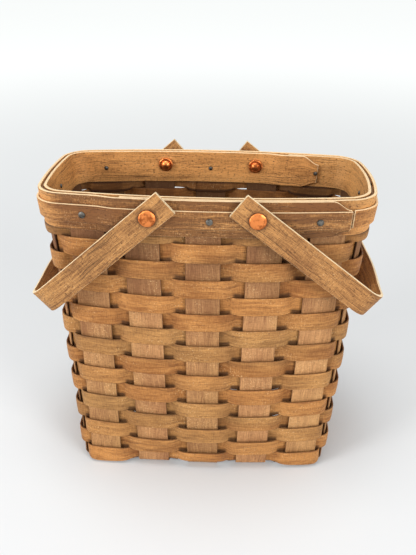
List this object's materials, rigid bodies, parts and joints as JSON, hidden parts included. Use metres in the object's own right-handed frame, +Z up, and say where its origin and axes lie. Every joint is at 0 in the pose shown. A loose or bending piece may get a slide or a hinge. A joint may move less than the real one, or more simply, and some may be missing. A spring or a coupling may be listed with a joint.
{
  "type": "splint basket",
  "caption": "Tall rectangular plain-weave splint basket with a lapped and tacked band rim and bentwood swing handles on copper rivets.",
  "frame": {"origin": "on the ground under the middle of the base", "axes": "+X along the long side, +Y from the front wall to the back wall, +Z up"},
  "size_m": [0.2305, 0.1207, 0.2181],
  "materials": {
    "stakes": "satin stained splint",
    "weavers": "satin stained splint",
    "rim_wood": "satin stained, pale sawn edges",
    "handle_wood": "satin stained, pale sawn edges",
    "copper": "hammered copper, slightly tarnished",
    "tack_steel": "dull plated steel"
  },
  "bodies": {
    "basket": {"stake_long_1": "stakes", "stake_long_2": "stakes", "stake_long_3": "stakes", "stake_long_4": "stakes", "stake_long_5": "stakes", "stake_cross_1": "stakes", "stake_cross_2": "stakes", "stake_cross_3": "stakes", "weaver_01": "weavers", "weaver_02": "weavers", "weaver_03": "weavers", "weaver_04": "weavers", "weaver_05": "weavers", "weaver_06": "weavers", "weaver_07": "weavers", "weaver_08": "weavers", "weaver_09": "weavers", "weaver_10": "weavers", "weaver_11": "weavers", "weaver_12": "weavers", "weaver_13": "weavers", "weaver_14": "weavers", "weaver_15": "weavers", "weaver_16": "weavers", "rim_band_outer": "rim_wood", "rim_band_inner": "rim_wood", "rim_trim": "rim_wood", "rivet_front_left": "copper", "rivet_back_left": "copper", "rivet_front_right": "copper", "rivet_back_right": "copper", "burr_front_left": "copper", "burr_back_left": "copper", "burr_front_right": "copper", "burr_back_right": "copper", "tack_front_middle": "tack_steel", "tack_front_right": "tack_steel", "tack_side_right": "tack_steel", "tack_back_right": "tack_steel", "tack_back_middle": "tack_steel", "tack_back_left": "tack_steel", "tack_side_left": "tack_steel", "tack_front_left": "tack_steel"},
    "handle_left": {"handle_left": "handle_wood"},
    "handle_right": {"handle_right": "handle_wood"}
  },
  "joints": [
    {"name": "left_handle_swing", "type": "hinge", "parent": "basket", "child": "handle_left", "pos_m": [-0.03277, 0, 0.2019], "axis": [0, 1, 0], "range_deg": [0, 144]},
    {"name": "right_handle_swing", "type": "hinge", "parent": "basket", "child": "handle_right", "pos_m": [0.03277, 0, 0.2019], "axis": [0, -1, 0], "range_deg": [0, 141]}
  ]
}
